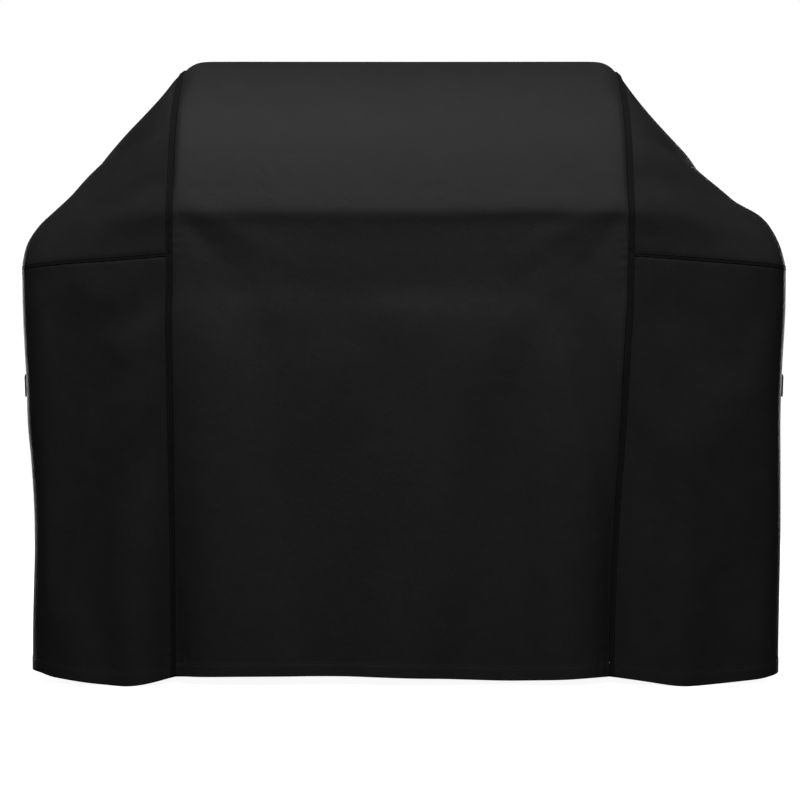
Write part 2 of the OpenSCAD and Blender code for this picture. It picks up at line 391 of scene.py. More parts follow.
class Layout:
    """Where a set of grids has its rows and columns, as shares of each stretch of cloth."""

    def __init__(self, skirt, upper, crown, cols_end, cols_mid):
        self.skirt, self.upper, self.crown = skirt, upper, crown
        self.cols_end, self.cols_mid = cols_end, cols_mid
        self.half = len(skirt) + len(upper) - 1      # rows from the hem to the crown's edge
        self.centre = centre_grid(skirt, upper, crown, cols_mid)
        self.ends = {side: end_grid(side, skirt, upper, cols_end) for side in SIDES}

    def centre_border(self, grid, side):
        """The centre panel's edge at the same points as an end grid's border."""
        col = grid[:, 0] if side == LEFT else grid[:, -1]
        crown_line = col[self.half - 1:self.half + len(self.crown) - 1]
        top = along(crown_line, self.cols_end[1:-1] * lengths(crown_line)[-1])
        return np.concatenate([col[:self.half], top, col[len(col) - self.half:]])


fine = Layout(graded(SHOULDER_SEAM_Z, 0.034, 0.012, 0.0026, 0.0072), graded(0.47, 0.012, 0.02, 0.0030, 0.0068),
              graded(0.21, 0.012, 0.012, 0.0030, 0.0070), graded(END_LENGTH, 0.016, 0.016, 0.0022, 0.0072),
              graded(2 * SEAM_X, 0.030, 0.030, 0.0024, 0.0095))
centre, ends = fine.centre, fine.ends
cols_end, cols_mid = fine.cols_end, fine.cols_mid
seam_row = len(fine.skirt) - 1


def border(grid):
    """An end grid's edge at the long seam: up the front, over the crown and down the back."""
    return np.concatenate([grid[:, 0], grid[-1, 1:-1], grid[::-1, -1]])


def near_line(at, flat, reach):
    """Batches of the points within reach of a line, with their squared distances to its points."""
    low, high = at.min(0) - reach, at.max(0) + reach
    which = np.nonzero(np.all((flat > low) & (flat < high), axis=1))[0]
    for start in range(0, len(which), 2000):
        w = which[start:start + 2000]
        yield w, ((flat[w][:, None] - at[None]) ** 2).sum(-1)


def spread(at, delta, points, reach):
    """Each point moves with the nearest part of a line whose points move by delta, fading over reach."""
    out = np.zeros_like(points).reshape(-1, 3)
    for w, d2 in near_line(at, points.reshape(-1, 3), reach):
        k = np.exp(-(d2 - d2.min(1, keepdims=True)) / (2 * 0.006 ** 2))
        near = np.sqrt(d2.min(1))
        out[w] = (k @ delta) / k.sum(1, keepdims=True) * (1 - smooth(near / reach))[:, None]
    return out.reshape(points.shape)


def distance_to(at, points, most):
    """Distance from each point to a line, up to most, and the place along the line."""
    flat = points.reshape(-1, 3)
    d, place = np.full(len(flat), most), np.zeros(len(flat))
    s = lengths(at)
    for w, d2 in near_line(at, flat, most):
        i = d2.argmin(1)
        d[w] = np.minimum(np.sqrt(d2[np.arange(len(w)), i]), most)
        place[w] = s[i]
    return d.reshape(points.shape[:-1]), place.reshape(points.shape[:-1])


def shaped(layout):
    """The base grids with their folds, still joined along the long seams."""
    centre, ends = layout.centre, layout.ends
    n_mid = normals(centre)
    mid = formed(centre, n_mid)
    # The hood's and crown's edges roll down to the seam.
    edge = SEAM_X - np.abs(centre[..., 0])
    over = smooth((centre[..., 2] - RIDGE_Z + 0.01) / 0.08)
    high = smooth((centre[..., 2] - 0.97) / 0.09)
    deep = np.where(centre[..., 0] < 0, ROLL[LEFT], ROLL[RIGHT]) * (0.28 + 0.72 * high)
    roll = deep * over * np.exp(-(edge / (0.009 + 0.007 * high)) ** 1.5) + 0.0012 * (1 - over) * bell(edge, 0.012)
    mid = mid - n_mid * roll[..., None]
    new = {}
    for side in SIDES:
        g = ends[side]
        q = formed(g, out_normals(g, side))
        delta = layout.centre_border(mid, side) - border(q)
        new[side] = q + spread(border(g), delta, g, 0.045)
    return mid, new


# ---------------- the cloth settles

SLACK = 0.0035                              # spare length in the cloth, which it hangs in folds with
MOST_MOVE = 0.008
SETTLE_FRAMES = 40


def blurred(d, radius):
    """A grid of moves averaged over its neighbours along both ways."""
    rows, cols = d.shape[:2]
    flat = running_mean(d.reshape(rows, -1), radius).reshape(d.shape)
    turned = flat.swapaxes(0, 1)
    return running_mean(turned.reshape(cols, -1), radius).reshape(turned.shape).swapaxes(0, 1)


def spline_weights(at, n):
    """Weights that read a row of n values smoothly at the given places, 0 to n - 1."""
    w = np.zeros((len(at), n))
    i = np.floor(at).astype(int)
    t = at - i
    parts = ((1 - t) ** 3 / 6, (3 * t ** 3 - 6 * t ** 2 + 4) / 6,
             (-3 * t ** 3 + 3 * t ** 2 + 3 * t + 1) / 6, t ** 3 / 6)
    for k, part in enumerate(parts):
        j = i + k - 1
        mirror = np.clip(np.where(j < 0, -j, np.where(j > n - 1, 2 * (n - 1) - j, j)), 0, n - 1)
        np.add.at(w, (np.arange(len(at)), mirror), part)
    return w


def places(layout, fine_layout):
    """Where the fine rows lie among the coarse rows, for a whole panel and for one end."""
    s, u, c = len(layout.skirt) - 1, len(layout.upper) - 1, len(layout.crown) - 1
    half = np.concatenate([fine_layout.skirt * s, s + fine_layout.upper[1:] * u])
    crown = s + u + fine_layout.crown[1:-1] * c
    return np.concatenate([half, crown, 2 * (s + u) + c - half[::-1]]), half


def one_mesh(layout, mid, sides):
    """The coarse panels joined into one mesh along the long seams, and where each grid's points are in it."""
    idx = numbered(mid)
    verts, faces, maps = [mid.reshape(-1, 3)], quads(idx).tolist(), {}
    for side in SIDES:
        edge = idx[:, 0] if side == LEFT else idx[:, -1]
        g = sides[side][:-1]
        inner = g[:, 1:-1]
        m = np.zeros(g.shape[:2], int)
        m[:, 1:-1] = numbered(inner, sum(map(len, verts)))
        m[:, 0], m[:, -1] = edge[:len(g)], edge[::-1][:len(g)]
        verts.append(inner.reshape(-1, 3))
        # Triangles close the gap between the end's last row and the crown's edge.
        a, b, i, j = m[-1], edge[layout.half - 1:len(edge) - layout.half + 1], 0, 0
        fan = []
        while i < len(a) - 1 or j < len(b) - 1:
            if j == len(b) - 1 or (i < len(a) - 1 and i / (len(a) - 1) <= j / (len(b) - 1)):
                fan.append([a[i], a[i + 1], b[j]])
                i += 1
            else:
                fan.append([a[i], b[j + 1], b[j]])
                j += 1
        faces += quads(m)[:, ::side].tolist() + [f[::side] for f in fan]
        maps[side] = m
    return np.concatenate(verts), faces, idx, maps


def stand_in(name, verts, faces):
    """A plain collider that holds the cloth up while it settles."""
    o = linked(name, mesh_of(name, verts, faces))
    o.modifiers.new("Collision", "COLLISION")
    o.collision.thickness_outer = 0.003
    o.collision.cloth_friction = 15
    return o


def prism(points, x0, x1):
    """A closed solid: an outline of [y, z] points between two values of x."""
    n = len(points)
    verts = [(x, p[0], p[1]) for x in (x0, x1) for p in points]
    faces = [list(range(n))[::-1], list(range(n, 2 * n))]
    faces += [[i, (i + 1) % n, n + (i + 1) % n, n + i] for i in range(n)]
    return verts, faces


def barbecue():
    """Plain solids in the place of the hood, the shelves and the cart."""
    inset = 0.007
    hood = [(y * (1 - inset / RIDGE_Y), z - inset) for y, z in
            np.concatenate([PROFILE[FRONT][1:], PROFILE[BACK][:0:-1]])]
    hood = [(-0.27, 0.70)] + hood + [(0.27, 0.70)]
    shelf = [(-0.262, 0.715), (-0.270, 0.745), (-0.262, 0.757), (0.262, 0.757), (0.270, 0.745), (0.262, 0.715)]
    cart = [(-0.25, 0.02), (-0.25, 0.71), (0.25, 0.71), (0.25, 0.02)]
    return [stand_in("hood", *prism(hood, -SEAM_X + inset, SEAM_X - inset)),
            stand_in("shelves", *prism(shelf, -0.632, 0.632)),
            stand_in("cart", *prism(cart, -0.345, 0.33))]


def hung(verts, faces):
    """How far each point of the welded cloth moves as it hangs: held firmly above, freely below."""
    cloth = linked("settling", mesh_of("settling", verts.tolist(), faces))
    held = cloth.vertex_groups.new(name="held")
    z = verts[:, 2]
    for i, w in enumerate(0.01 + 0.5 * smooth((z - 0.58) / 0.16) + 0.4 * smooth((z - 1.0) / 0.06)):
        held.add([i], float(w), "REPLACE")
    helpers = barbecue()
    mod = cloth.modifiers.new("Cloth", "CLOTH")
    c = mod.settings
    c.quality, c.mass, c.air_damping = 6, 0.25, 2.0
    c.tension_stiffness = c.compression_stiffness = 60
    c.shear_stiffness = 25
    c.bending_stiffness, c.bending_damping = 5.0, 1.0
    c.tension_damping = c.compression_damping = 12
    c.shrink_min = c.shrink_max = -SLACK
    c.vertex_group_mass = "held"
    c.pin_stiffness = 0.5
    mod.collision_settings.distance_min = 0.003
    mod.collision_settings.collision_quality = 2
    mod.point_cache.frame_start, mod.point_cache.frame_end = 1, 60
    for f in range(1, SETTLE_FRAMES + 1):
        scene.frame_set(f)
    now = np.zeros(len(verts) * 3, np.float32)
    cloth.evaluated_get(bpy.context.evaluated_depsgraph_get()).data.vertices.foreach_get("co", now)
    scene.frame_set(1)
    for o in (cloth, *helpers):
        m = o.data
        bpy.data.objects.remove(o)
        bpy.data.meshes.remove(m)
    return now.reshape(-1, 3) - verts


def settled():
    """How far each point of the fine grids moves when the cloth hangs over the barbecue inside it."""
    coarse = Layout(*(np.linspace(0, 1, n) for n in (47, 30, 14, 74, 50)))
    verts, faces, idx, maps = one_mesh(coarse, *shaped(coarse))
    move = hung(verts, faces)
    whole, half = places(coarse, fine)
    grids = {"mid": (move[idx], whole, cols_mid)}
    for side in SIDES:
        m = move[maps[side]]
        grids[side] = (np.concatenate([m, m[-1:] * 0.6]), half, cols_end)
    out = {}
    for key, (d, rows, cols) in grids.items():
        d = blurred(d, 1) - blurred(d, 6)
        size = np.linalg.norm(d, axis=-1, keepdims=True)
        d = d * (MOST_MOVE * np.tanh(size / MOST_MOVE) / np.maximum(size, 1e-9))
        out[key] = np.einsum("ri,ijc,kj->rkc", spline_weights(rows, d.shape[0]), d,
                             spline_weights(cols * (d.shape[1] - 1), d.shape[1]))
    return out


def give(P):
    """How freely the cloth moves: taut over the hood and shelves, firm where the straps lie."""
    z, ax = P[..., 2], np.abs(P[..., 0])
    free = (1 - 0.85 * smooth((z - 0.59) / 0.15)) * (1 - 0.6 * smooth((ax - 0.60) / 0.03))
    free = free * (1 - 0.5 * bell(ax - SEAM_X, 0.04)) * (0.9 + 0.35 * smooth(P[..., 1] / 0.2))
    return (free * (1 - smooth((ax - 0.60) / 0.03) * hump(z, STRAP_HEIGHT, 0.07)))[..., None]


mid, new_ends = shaped(fine)
moves = settled()
mid = mid + moves["mid"] * give(mid)
new_ends = {side: new_ends[side] + moves[side] * give(new_ends[side]) for side in SIDES}
for side in SIDES:
    goal = fine.centre_border(mid, side)
    new_ends[side] = new_ends[side] + spread(border(new_ends[side]), goal - border(new_ends[side]),
                                             new_ends[side], 0.03)
seam_lines = {side: fine.centre_border(mid, side) for side in SIDES}


def stitch_noise(s, seed, wave):
    """A wandering ripple along a seam, about one wave long, from -1 to 1."""
    rng = np.random.default_rng(seed)
    n = int(s.max() / wave) + 4
    phase = np.cumsum(rng.uniform(0.75, 1.3, n)) * math.pi * 2
    size = rng.uniform(0.35, 1.0, n)
    at = s / wave
    return np.sin(np.interp(at, np.arange(n), phase)) * np.interp(at, np.arange(n), size)


def hem_detail(height, ripple):
    """The hem's turned edge and its stitched line, with small puckers, at a height above the edge."""
    fold = 0.0007 * (1 - smooth((height - HEM_STITCH) / 0.003)) - 0.0006 * bell(height - HEM_STITCH, 0.0018)
    return fold + 0.0005 * ripple * bell(height - 0.024, 0.016)


def detail_centre(mid):
    """Groove and puckers along the long seams, and the hem's fold."""
    rows = lengths(centre[:, 0])
    x = centre[..., 0]
    out = np.zeros(mid.shape[:2])
    for side in SIDES:
        edge = SEAM_X - side * x
        pucker = 0.00055 * stitch_noise(rows, 11 + side, 0.017)[:, None] * bell(edge, 0.013)
        out += -0.0018 * bell(edge, 0.0045) + pucker * smooth(edge / 0.006)
    hem = np.minimum(rows, rows[-1] - rows)[:, None]
    out += hem_detail(hem, stitch_noise(x - x.min(), 5, 0.019))
    return mid + normals(mid) * out[..., None]


def detail_end(q, side):
    """The same for an end, and the groove and puckers along its shoulder seam."""
    d, s = distance_to(seam_lines[side], q, 0.05)
    out = -0.0018 * bell(d, 0.0045)
    out += 0.0006 * stitch_noise(s, 21 + side, 0.018) * bell(d, 0.016) * smooth(d / 0.006)
    rows, cols = lengths(ends[side][:, 0])[:, None], cols_end * END_LENGTH
    out += hem_detail(rows, stitch_noise(cols, 31 + side, 0.019)[None])
    up = rows - rows[seam_row]
    out += -0.0016 * bell(up, 0.0045)
    out += 0.0007 * stitch_noise(cols, 41 + side, 0.021)[None] * bell(up, 0.018) * smooth(np.abs(up) / 0.005)
    return q + out_normals(q, side) * out[..., None]


def welded(mid, side, q):
    """An end whose edge meets the centre panel's, and the cloth next to it follows."""
    now = border(q)
    return q + spread(now, fine.centre_border(mid, side) - now, q, 0.012)


mid = detail_centre(mid)
new_ends = {side: welded(mid, side, detail_end(new_ends[side], side)) for side in SIDES}


# ---------------- meshes

def finish_mesh(name, verts, faces):
    mesh = mesh_of(name, verts.tolist(), faces)
    mesh.polygons.foreach_set("use_smooth", [True] * len(mesh.polygons))
    mesh.update()
    return mesh


def set_uv(mesh, uv):
    """The cloth's own coordinates, in metres, for its weave."""
    layer = mesh.uv_layers.new(name="weave")
    index = np.zeros(len(mesh.loops), np.int32)
    mesh.loops.foreach_get("vertex_index", index)
    layer.data.foreach_set("uv", np.asarray(uv, np.float32)[index].ravel())


def shell_mesh(name, grid, thickness, uv):
    """A closed sheet: the grid, its copy set inward along the normals, and a rim between them."""
    inner = grid - normals(grid) * thickness
    verts = np.concatenate([grid.reshape(-1, 3), inner.reshape(-1, 3)])
    idx = numbered(grid)
    outer = quads(idx)
    under = outer[:, ::-1] + idx.size
    ring = np.concatenate([idx[0, :], idx[1:, -1], idx[-1, -2::-1], idx[-2:0:-1, 0]])
    nxt = np.roll(ring, -1)
    rim = np.stack([nxt, ring, ring + idx.size, nxt + idx.size], axis=-1)
    mesh = finish_mesh(name, verts, np.concatenate([outer, under, rim]).tolist())
    kind = np.zeros(len(mesh.polygons), np.int32)
    kind[len(outer):2 * len(outer)] = 1
    mesh.polygons.foreach_set("material_index", kind)
    set_uv(mesh, np.concatenate([uv.reshape(-1, 2)] * 2))
    return mesh


def tape_mesh(name, rings, uv):
    """A closed solid from a row of closed rings of points, with its two ends capped."""
    idx = numbered(rings)
    nxt = np.roll(idx, -1, axis=1)
    sides = np.stack([idx[:-1], nxt[:-1], nxt[1:], idx[1:]], axis=-1).reshape(-1, 4)
    faces = sides.tolist() + [idx[0, ::-1].tolist(), idx[-1].tolist()]
    p, q, r = rings[:-1], np.roll(rings, -1, axis=1)[:-1], rings[1:]
    c = rings.mean(axis=1)[:-1, None]
    if (np.cross(q - p, r - p) * (p - c)).sum() < 0:
        faces = [f[::-1] for f in faces]
    mesh = finish_mesh(name, rings.reshape(-1, 3), faces)
    set_uv(mesh, uv.reshape(-1, 2))
    return mesh


def stitches_mesh(name, runs, pitch=0.0042, length=0.0034, radius=0.00034):
    """Lock stitches: short humps of thread that dive into the cloth at both ends.
    runs are (points, normals) of each stitched line."""
    t = np.array([0.0, 0.22, 0.78, 1.0])
    rise = np.array([-0.7, 0.75, 0.75, -0.7])
    size = np.array([0.6, 1.0, 1.0, 0.6])
    sides = 5
    turn = np.arange(sides) * 2 * math.pi / sides
    verts, faces, base = [], [], 0
    for points, nrm in runs:
        s = lengths(points)
        starts = np.arange(pitch / 2, s[-1] - length, pitch)
        at = (starts[:, None] + t * length).ravel()
        p, n = along(points, at), unit(np.stack([np.interp(at, s, nrm[:, k]) for k in range(3)], 1))
        ahead = unit(along(points, at + 0.0004) - along(points, at - 0.0004))
        across = unit(np.cross(ahead, n))
        up, r = np.tile(rise, len(starts)) * radius, np.tile(size, len(starts)) * radius
        ring = (p + n * up[:, None])[:, None] + r[:, None, None] * (
            across[:, None] * np.cos(turn)[:, None] + n[:, None] * np.sin(turn)[:, None])
        verts.append(ring.reshape(-1, 3))
        idx = base + np.arange(len(starts) * 4 * sides).reshape(len(starts), 4, sides)
        nxt = np.roll(idx, -1, axis=2)
        quads = np.stack([idx[:, :-1], idx[:, 1:], nxt[:, 1:], nxt[:, :-1]], axis=-1).reshape(-1, 4)
        faces += quads.tolist() + idx[:, 0].tolist() + idx[:, -1, ::-1].tolist()
        base += idx.size
    return finish_mesh(name, np.concatenate(verts), faces)


def set_rub(mesh, rub):
    """How rubbed each point of a panel is, for its colour."""
    both = np.concatenate([rub.ravel(), np.zeros(rub.size)]).astype(np.float32)
    mesh.attributes.new("rub", "FLOAT", "POINT").data.foreach_set("value", both)
    return mesh


def rubbed(grid, hem):
    """Where the cloth rubs: its hem, the hood's ridges and the edges of the crown and shelves."""
    n = normals(grid)
    bends = [np.linalg.norm(np.gradient(n, axis=k), axis=-1)
             / np.maximum(np.linalg.norm(np.gradient(grid, axis=k), axis=-1), 1e-6) for k in (0, 1)]
    rub = 0.45 * smooth((np.maximum(*bends) - 10) / 40)
    if hem is not None:
        rub = np.maximum(rub, 0.8 * bell(hem, 0.0022))
    return clamp01(rub)


def add_piece(mesh, body, nodes=(), materials=()):
    o = linked(mesh.name, mesh)
    if body:
        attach(o, body)
    if nodes:
        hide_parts(*nodes)
    for m in materials:
        o.data.materials.append(m)
    return o


# ---------------- materials

class Nodes:
    """A material and short ways to add nodes to it."""

    def __init__(self, name, rough, specular):
        self.material = bpy.data.materials.new(name)
        self.material.use_nodes = True
        self.tree = self.material.node_tree
        self.shader = self.tree.nodes["Principled BSDF"]
        self.shader.inputs["Roughness"].default_value = rough
        self.shader.inputs["Specular IOR Level"].default_value = specular

    def put(self, value, socket):
        if isinstance(value, (int, float, tuple)):
            socket.default_value = value
        else:
            self.tree.links.new(value, socket)

    def node(self, kind, **inputs):
        n = self.tree.nodes.new("ShaderNode" + kind)
        for name, value in inputs.items():
            self.put(value, n.inputs[name.replace("_", " ")])
        return n

    def math(self, operation, a, b=0.0, c=0.0):
        n = self.node("Math")
        n.operation = operation
        for value, socket in zip((a, b, c), n.inputs):
            self.put(value, socket)
        return n.outputs[0]

    def add(self, a, b):
        return self.math("ADD", a, b)

    def mul(self, a, b):
        return self.math("MULTIPLY", a, b)

    def wave(self, turns):
        """A sine from 0 to 1 that repeats each whole turn."""
        return self.math("MULTIPLY_ADD", self.math("SINE", self.mul(turns, 2 * math.pi)), 0.5, 0.5)

    def place(self):
        return self.node("TexCoord").outputs["Object"]

    def weave_uv(self, pitch_u, pitch_v):
        """The cloth's own coordinates, counted in threads."""
        uv = self.node("UVMap")
        uv.uv_map = "weave"
        split = self.node("SeparateXYZ", Vector=uv.outputs[0])
        return self.mul(split.outputs[0], 1 / pitch_u), self.mul(split.outputs[1], 1 / pitch_v)

    def noise(self, where, scale, detail=3.0, rough=0.55):
        return self.node("TexNoise", Scale=scale, Detail=detail, Roughness=rough, Vector=where).outputs["Fac"]

    def joined(self, u, v):
        return self.node("CombineXYZ", X=u, Y=v).outputs[0]

    def mixed(self, factor, low, high, blend="MIX"):
        m = self.node("Mix")
        m.data_type, m.blend_type = "RGBA", blend
        self.put(factor, m.inputs["Factor"])
        sockets = [x for x in m.inputs if x.name in ("A", "B") and x.type == "RGBA"]
        for value, socket in zip((low, high), sockets):
            self.put((*value, 1) if isinstance(value, tuple) else value, socket)
        return next(x for x in m.outputs if x.type == "RGBA")

    def ramp(self, value, low, high, at=(0.0, 1.0)):
        """A colour between two, as value goes from at[0] to at[1]."""
        share = self.node("MapRange", Value=value, From_Min=at[0], From_Max=at[1])
        return self.mixed(share.outputs[0], low, high)

    def scaled(self, colour, by):
        grey = self.node("CombineColor", Red=by, Green=by, Blue=by)
        return self.mixed(1.0, colour, grey.outputs[0], "MULTIPLY")

    def bump(self, height, distance, under=None, strength=1.0):
        n = self.node("Bump", Distance=distance, Strength=strength, Height=height)
        if under is not None:
            self.put(under, n.inputs["Normal"])
        return n.outputs[0]

    def finish(self, colour, normal, rough):
        for value, name in ((colour, "Base Color"), (normal, "Normal"), (rough, "Roughness")):
            self.put(value, self.shader.inputs[name])
        return self.material


def grey(value):
    return (value, value, value)


def plain_weave(n, u, v):
    """Height of a plain weave, 0 to 1: threads along each way pass over and under each other."""
    over = [n.math("ABSOLUTE", n.math("SINE", n.mul(t, math.pi))) for t in (u, v)]
    turn_u, turn_v = (n.math("MULTIPLY_ADD", n.math("COSINE", n.mul(n.add(a, n.math("FLOOR", b)), math.pi)), 0.5, 0.5)
                      for a, b in ((v, u), (u, v)))
    return n.math("MAXIMUM", n.mul(over[0], turn_u), n.mul(over[1], n.math("SUBTRACT", 1.0, turn_v)))


def make_cloth(name, shine, depth):
    """Coated polyester Oxford: a fine plain weave, slubs, faint mottling and rubbed high places. depth scales the
    whole colour; above 1 it is painted light, a lighter copy of the same cloth.
    """
    n = Nodes(name, 0.65, shine)
    place = n.place()
    u, v = n.weave_uv(0.00062, 0.00062)
    weave = plain_weave(n, u, v)
    slub_u = n.noise(n.joined(n.mul(u, 0.9), n.mul(v, 0.035)), 1.0, 2.0)
    slub_v = n.noise(n.joined(n.mul(u, 0.035), n.mul(v, 0.9)), 1.0, 2.0)
    slubs = n.mul(n.add(slub_u, slub_v), 0.5)
    mottle = n.noise(place, 5.0, 5.0, 0.6)
    cloud = n.noise(place, 26.0, 4.0, 0.6)
    shade = n.add(n.mul(mottle, 0.6), n.mul(cloud, 0.4))
    colour = n.ramp(shade, (0.0118, 0.0112, 0.0115), (0.0170, 0.0163, 0.0166), (0.3, 0.7))
    # Colour lighter on the weave's raised threads and darker between them: painted highlight and painted shade. The
    # slubs add a real streaky tone.
    colour = n.scaled(colour, n.mul(n.add(n.add(n.mul(weave, 0.34), n.mul(slubs, 0.36)), 0.66), depth))
    rub = n.node("Attribute")
    rub.attribute_name = "rub"
    grain = n.noise(place, 420.0, 3.0, 0.7)
    worn = n.mul(rub.outputs["Fac"], n.math("MULTIPLY_ADD", grain, 1.6, -0.35))
    worn = n.math("MAXIMUM", n.math("MINIMUM", worn, 1.0), 0.0)
    colour = n.ramp(worn, colour, (0.032, 0.031, 0.031))
    lint = n.math("GREATER_THAN", n.noise(place, 900.0, 1.0, 0.4), 0.735)
    colour = n.ramp(n.mul(lint, 0.35), colour, grey(0.10))
    rough = n.add(n.mul(mottle, 0.16), n.add(n.mul(n.math("SUBTRACT", 1.0, weave), 0.12), 0.52))
    crumple = n.noise(place, 34.0, 4.0, 0.5)
    fine = n.noise(place, 140.0, 3.0, 0.55)
    soft = n.bump(n.add(crumple, n.mul(fine, 0.22)), 0.0016, strength=0.55)
    normal = n.bump(n.add(weave, n.mul(slubs, 0.5)), 0.00014, under=soft, strength=0.8)
    return n.finish(colour, normal, rough)


def make_lining():
    """The cloth's inside: a thin smooth coating through which the weave just shows."""
    n = Nodes("coated_lining", 0.55, 0.35)
    place = n.place()
    u, v = n.weave_uv(0.00062, 0.00062)
    weave = plain_weave(n, u, v)
    stain = n.noise(place, 9.0, 5.0, 0.6)
    colour = n.ramp(stain, (0.026, 0.026, 0.027), (0.040, 0.040, 0.041), (0.3, 0.7))
    rough = n.add(n.mul(stain, 0.22), 0.40)
    crease = n.bump(n.noise(place, 60.0, 4.0, 0.6), 0.0010, strength=0.5)
    normal = n.bump(weave, 0.00005, under=crease, strength=0.6)
    return n.finish(colour, normal, rough)


def make_tape():
    """Grosgrain binding: close ribs across the tape, duller than the cloth."""
    n = Nodes("ribbed_binding", 0.85, 0.07)
    place = n.place()
    u, v = n.weave_uv(0.0006, 0.00105)
    rib = n.math("POWER", n.wave(v), 0.7)
    cross = n.wave(n.add(u, n.mul(n.math("FLOOR", v), 0.5)))
    height = n.add(rib, n.mul(cross, 0.25))
    wear = n.noise(place, 55.0, 4.0, 0.65)
    # Colour darker in the hollows between the ribs and lighter on their tops, painted shade and painted highlight,
    # mixed with real patchy wear.
    colour = n.ramp(n.add(n.mul(height, 0.5), n.mul(wear, 0.5)), (0.0068, 0.0066, 0.0067),
                    (0.0135, 0.0131, 0.0133), (0.2, 0.95))
    rough = n.add(n.mul(wear, 0.15), 0.74)
    normal = n.bump(height, 0.00016, under=n.bump(wear, 0.0005, strength=0.4), strength=0.9)
    return n.finish(colour, normal, rough)


def make_thread():
    n = Nodes("bonded_thread", 0.6, 0.2)
    place = n.place()
    twist = n.noise(place, 1500.0, 2.0, 0.5)
    colour = n.ramp(twist, grey(0.010), grey(0.021), (0.35, 0.65))
    normal = n.bump(twist, 0.00012, strength=0.8)
    return n.finish(colour, normal, n.add(n.mul(twist, 0.25), 0.45))


def make_webbing():
    """Polypropylene webbing: a herringbone of flat shiny yarns."""
    n = Nodes("herringbone_webbing", 0.65, 0.13)
    place = n.place()
    u, v = n.weave_uv(0.0064, 0.0026)
    zig = n.math("ABSOLUTE", n.math("SUBTRACT", n.math("FRACT", u), 0.5))
    yarn = n.wave(n.add(v, n.mul(zig, 3.2)))
    spine = n.math("POWER", n.wave(n.add(n.mul(u, 2.0), 0.25)), 0.35)
    height = n.mul(n.math("POWER", yarn, 0.6), spine)
    fibre = n.noise(n.joined(n.mul(u, 26.0), n.mul(v, 1.1)), 1.0, 3.0, 0.6)
    wear = n.noise(place, 70.0, 4.0, 0.6)
    # Colour darker between the yarns and lighter on their crowns, painted shade and painted highlight, mixed with
    # real fibre streaks.
    colour = n.ramp(n.add(n.mul(height, 0.6), n.mul(fibre, 0.4)), grey(0.007), (0.019, 0.019, 0.0194), (0.15, 0.9))
    rough = n.add(n.mul(fibre, 0.25), n.add(n.mul(wear, 0.1), 0.48))
    normal = n.bump(n.add(height, n.mul(fibre, 0.2)), 0.00035, n.bump(wear, 0.0004, strength=0.4), 0.9)
    return n.finish(colour, normal, rough)


def make_grip(name, scale, depth, low, high):
    """Hook or loop tape: rows of small hooks, or a napped mat of loops."""
    n = Nodes(name, 0.7, 0.25)
    place = n.place()
    u, v = n.weave_uv(scale, scale)
    dots = n.mul(n.wave(u), n.wave(v))
    fuzz = n.noise(place, 900.0, 4.0, 0.7)
    height = n.add(n.mul(dots, depth), n.mul(fuzz, 1.0 - depth))
    # Colour lighter where the tape's surface stands high and darker where it dips: painted highlight and painted
    # shade.
    colour = n.ramp(height, low, high, (0.2, 0.8))
    return n.finish(colour, n.bump(height, 0.0005, strength=1.0), n.add(n.mul(fuzz, 0.3), 0.5))


cloth_m = make_cloth("oxford_cloth", 0.28, 1.0)
end_cloth_painted_lighter_m = make_cloth("oxford_cloth_painted_lighter", 0.04, 1.55)     # the ends' copy of the cloth: less shine, and its colour painted 1.55 times lighter as painted light
lining_m = make_lining()
tape_m = make_tape()
thread_m = make_thread()
webbing_m = make_webbing()
hook_m = make_grip("hook_tape_nylon", 0.0017, 0.8, grey(0.006), grey(0.026))
loop_m = make_grip("loop_tape_nylon", 0.0011, 0.25, grey(0.008), grey(0.028))

# ---------------- the five panels

def uv_of(grid, shares):
    """Weave coordinates of a grid in metres: across from its middle column, and up from its hem."""
    wide = np.linalg.norm(np.diff(grid, axis=1), axis=-1).sum(1)
    tall = lengths(grid[:, grid.shape[1] // 2])
    return np.stack([(shares[None] - 0.5) * wide[:, None], np.repeat(tall[:, None], len(shares), 1)], -1)


SEAM_ALLOWANCE, HEM_ALLOWANCE = 0.012, 0.030
centre_s = lengths(centre[:, 0])
hem_gap = np.minimum(centre_s, centre_s[-1] - centre_s)[:, None]
mesh = set_rub(shell_mesh("centre_panel_cloth", mid, CLOTH_T, uv_of(mid, cols_mid)), rubbed(mid, hem_gap))
add_piece(mesh, "cover", ["centre_panel"], [cloth_m, lining_m])


def end_panel(side, part, grid, uv, hem_gap):
    """A skirt or shoulder panel of one end, from its rows of the end's grid."""
    name = f"{NAME[side]}_{part}"
    mesh = set_rub(shell_mesh(name + "_cloth", grid, CLOTH_T, uv), rubbed(grid, hem_gap))
    o = add_piece(mesh, "cover", [name + "_panel"], [end_cloth_painted_lighter_m, lining_m])
    h = float(np.ptp(uv[..., 1])) + SEAM_ALLOWANCE
    if part == "skirt":
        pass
    else:
        h += SEAM_ALLOWANCE


def left_to_right(side, grid):
    """An end's grid with its columns running left to right as seen from outside."""
    return grid if side == RIGHT else grid[:, ::-1]


for side in SIDES:
    g = left_to_right(side, new_ends[side])
    uv = uv_of(g, cols_end if side == RIGHT else 1 - cols_end[::-1])
    skirt_s = lengths(ends[side][:, 0])[:seam_row + 1, None]
    end_panel(side, "skirt", g[:seam_row + 1], uv[:seam_row + 1], skirt_s)
    end_panel(side, "shoulder", g[seam_row:], uv[seam_row:], None)

# ---------------- tapes and stitching along the seams

def tree_of(grid):
    return BVHTree.FromPolygons(grid.reshape(-1, 3).tolist(), quads(numbered(grid)).tolist())


outer = {side: tree_of(new_ends[side]) for side in SIDES}


